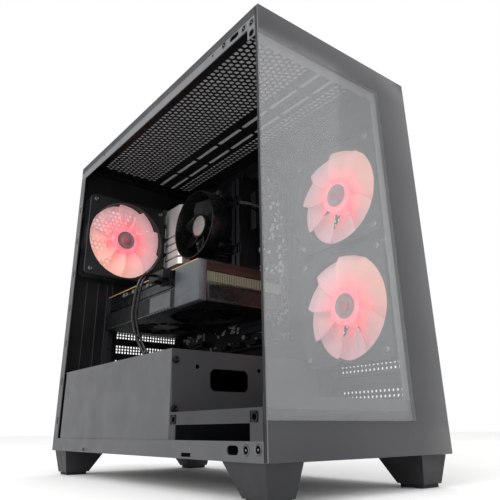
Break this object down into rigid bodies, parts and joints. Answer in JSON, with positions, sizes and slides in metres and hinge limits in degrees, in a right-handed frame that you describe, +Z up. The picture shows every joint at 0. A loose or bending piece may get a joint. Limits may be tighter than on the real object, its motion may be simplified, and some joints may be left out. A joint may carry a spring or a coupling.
{
  "type": "desktop computer tower",
  "caption": "Compact desktop computer tower with a glass front, an open left side, lit fans, a graphics card and a shrouded power supply.",
  "frame": {"origin": "on the surface that the tower stands on, under the middle of its outer box", "axes": "+Z up, +X to the right and +Y to the rear as seen from the glass front"},
  "size_m": [0.216, 0.422, 0.421],
  "materials": {
    "case_steel": "satin powder coat",
    "flange_steel": "satin powder coat",
    "tinted_glass": "polished",
    "dust_screen": "woven screen",
    "black_plastic": "fine moulded texture",
    "foot_plastic": "fine moulded texture",
    "rubber": "matt",
    "screw_steel": "satin",
    "fan_blade": "frosted, lit from the hub",
    "black_rotor": "semi-gloss",
    "fin_aluminium": "brushed",
    "circuit_board": "solder resist",
    "socket_plastic": "moulded",
    "white_plastic": "moulded",
    "spreader": "bead blasted, dark anodised",
    "port_metal": "tinned",
    "card_plastic": "satin moulded",
    "cable_sleeve": "glossy insulation",
    "blank_steel": "satin"
  },
  "bodies": {
    "case": {"base_pan": "case_steel", "rear_panel": "case_steel", "io_shield": "port_metal", "io_ports": "port_metal", "motherboard_tray": "case_steel", "fan_bracket": "case_steel", "top_frame": "flange_steel", "top_panel": "case_steel", "front_frame": "case_steel", "front_glass": "tinted_glass", "psu_shroud": "case_steel", "front_platform": "case_steel", "panel_sockets": "black_plastic", "feet": "foot_plastic", "foot_pads": "rubber", "slot_covers": "blank_steel", "slot_retainer": "blank_steel", "rear_fan_frame": "black_plastic", "upper_fan_frame": "black_plastic", "lower_fan_frame": "black_plastic", "motherboard": "circuit_board", "board_standoffs": "screw_steel", "cpu_socket": "port_metal", "cpu_heatsink": "fin_aluminium", "cpu_fan_shroud": "black_plastic", "vrm_heatsink": "fin_aluminium", "ram_slots": "socket_plastic", "ram_modules": "spreader", "pcie_slots": "socket_plastic", "chipset_heatsink": "spreader", "atx_plug": "socket_plastic", "atx_power_cable": "cable_sleeve", "board_connectors": "white_plastic", "gpu_board": "circuit_board", "gpu_heatsink": "fin_aluminium", "gpu_shroud": "card_plastic", "gpu_bracket": "port_metal", "gpu_power_plug": "socket_plastic", "gpu_power_cable": "cable_sleeve", "psu_case": "blank_steel", "psu_grille": "screw_steel", "psu_inlet": "socket_plastic", "front_io_panel": "black_plastic"},
    "rear_fan": {"rear_fan_rotor": "fan_blade"},
    "upper_fan": {"upper_fan_rotor": "fan_blade"},
    "lower_fan": {"lower_fan_rotor": "fan_blade"},
    "cpu_fan": {"cpu_fan_rotor": "black_rotor"},
    "gpu_rear_fan": {"gpu_fan_rear": "black_rotor"},
    "gpu_front_fan": {"gpu_fan_front": "black_rotor"},
    "psu_fan": {"psu_fan_rotor": "black_rotor"},
    "power_switch": {"psu_switch": "socket_plastic"},
    "power_key": {"power_button": "black_plastic"},
    "reset_key": {"reset_button": "black_plastic"},
    "side_cover": {"right_side_panel": "case_steel", "panel_thumbscrews": "screw_steel"},
    "top_filter": {"top_dust_filter": "dust_screen"},
    "bottom_filter": {"bottom_dust_filter": "dust_screen"},
    "rear_ram_latch": {"ram_latch_rear": "socket_plastic"},
    "front_ram_latch": {"ram_latch_front": "socket_plastic"},
    "card_latch": {"pcie_latch": "socket_plastic"}
  },
  "joints": [
    {"name": "rear_fan_spin", "type": "hinge", "parent": "case", "child": "rear_fan", "pos_m": [-0.0415, 0.19, 0.312], "axis": [0, 1, 0], "continuous": true},
    {"name": "upper_fan_spin", "type": "hinge", "parent": "case", "child": "upper_fan", "pos_m": [0.078, -0.131, 0.3], "axis": [1, 0, 0], "continuous": true},
    {"name": "lower_fan_spin", "type": "hinge", "parent": "case", "child": "lower_fan", "pos_m": [0.078, -0.131, 0.171], "axis": [1, 0, 0], "continuous": true},
    {"name": "cpu_fan_spin", "type": "hinge", "parent": "case", "child": "cpu_fan", "pos_m": [0.028, 0.08, 0.3165], "axis": [1, 0, 0], "continuous": true},
    {"name": "gpu_rear_fan_spin", "type": "hinge", "parent": "case", "child": "gpu_rear_fan", "pos_m": [0, 0.127, 0.184], "axis": [0, 0, 1], "continuous": true},
    {"name": "gpu_front_fan_spin", "type": "hinge", "parent": "case", "child": "gpu_front_fan", "pos_m": [0, 0.027, 0.184], "axis": [0, 0, 1], "continuous": true},
    {"name": "psu_fan_spin", "type": "hinge", "parent": "case", "child": "psu_fan", "pos_m": [-0.003, 0.132, 0.042], "axis": [0, 0, 1], "continuous": true},
    {"name": "power_switch_rock", "type": "hinge", "parent": "case", "child": "power_switch", "pos_m": [-0.0265, 0.204, 0.093], "axis": [1, 0, 0], "range_deg": [-9, 9]},
    {"name": "power_button_press", "type": "slide", "parent": "case", "child": "power_key", "axis": [0, 0, -1], "range_m": [0, 0.0015], "stiffness_N_per_m": 400},
    {"name": "reset_button_press", "type": "slide", "parent": "case", "child": "reset_key", "axis": [0, 0, -1], "range_m": [0, 0.0015], "stiffness_N_per_m": 300},
    {"name": "side_cover_slide", "type": "slide", "parent": "case", "child": "side_cover", "axis": [0, 1, 0], "range_m": [0, 0.014]},
    {"name": "top_filter_lift", "type": "slide", "parent": "case", "child": "top_filter", "axis": [0, 0, 1], "range_m": [0, 0.06]},
    {"name": "bottom_filter_pull", "type": "slide", "parent": "case", "child": "bottom_filter", "axis": [0, 1, 0], "range_m": [0, 0.12]},
    {"name": "rear_ram_latch_tip", "type": "hinge", "parent": "case", "child": "rear_ram_latch", "pos_m": [0.0712, 0.025, 0.377], "axis": [0, 1, 0], "range_deg": [0, 30]},
    {"name": "front_ram_latch_tip", "type": "hinge", "parent": "case", "child": "front_ram_latch", "pos_m": [0.0712, 0.015, 0.377], "axis": [0, 1, 0], "range_deg": [0, 30]},
    {"name": "card_latch_tip", "type": "hinge", "parent": "case", "child": "card_latch", "pos_m": [0.0712, 0.0594, 0.2235], "axis": [0, 0, 1], "range_deg": [0, 20]}
  ]
}
